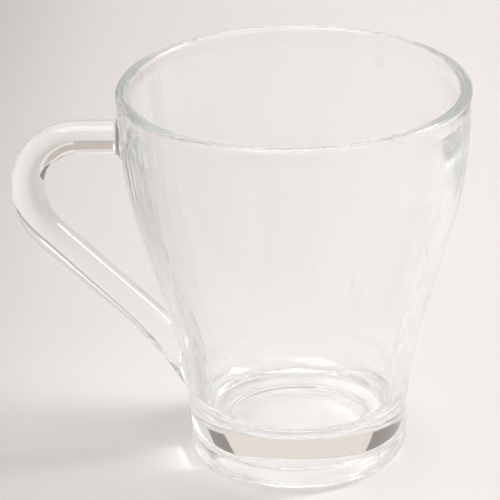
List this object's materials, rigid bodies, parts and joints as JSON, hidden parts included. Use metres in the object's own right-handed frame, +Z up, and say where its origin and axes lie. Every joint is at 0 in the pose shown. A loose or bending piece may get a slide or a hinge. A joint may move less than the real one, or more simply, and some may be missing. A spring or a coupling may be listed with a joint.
{
  "type": "glass cappuccino cup",
  "caption": "Clear glass cappuccino cup with a flared S-shaped bowl on a thick solid foot and a looped rod handle fused to its wall.",
  "frame": {"origin": "on the bowl's axis, on the plane that the foot stands on", "axes": "+Z up along the bowl's axis, -X towards the handle, which lies in the XZ plane"},
  "size_m": [0.11, 0.084, 0.095],
  "materials": {
    "bowl": "clear, fire-polished",
    "handle": "clear, fire-polished"
  },
  "bodies": {
    "root": {"bowl": "bowl", "handle": "handle"}
  },
  "joints": []
}
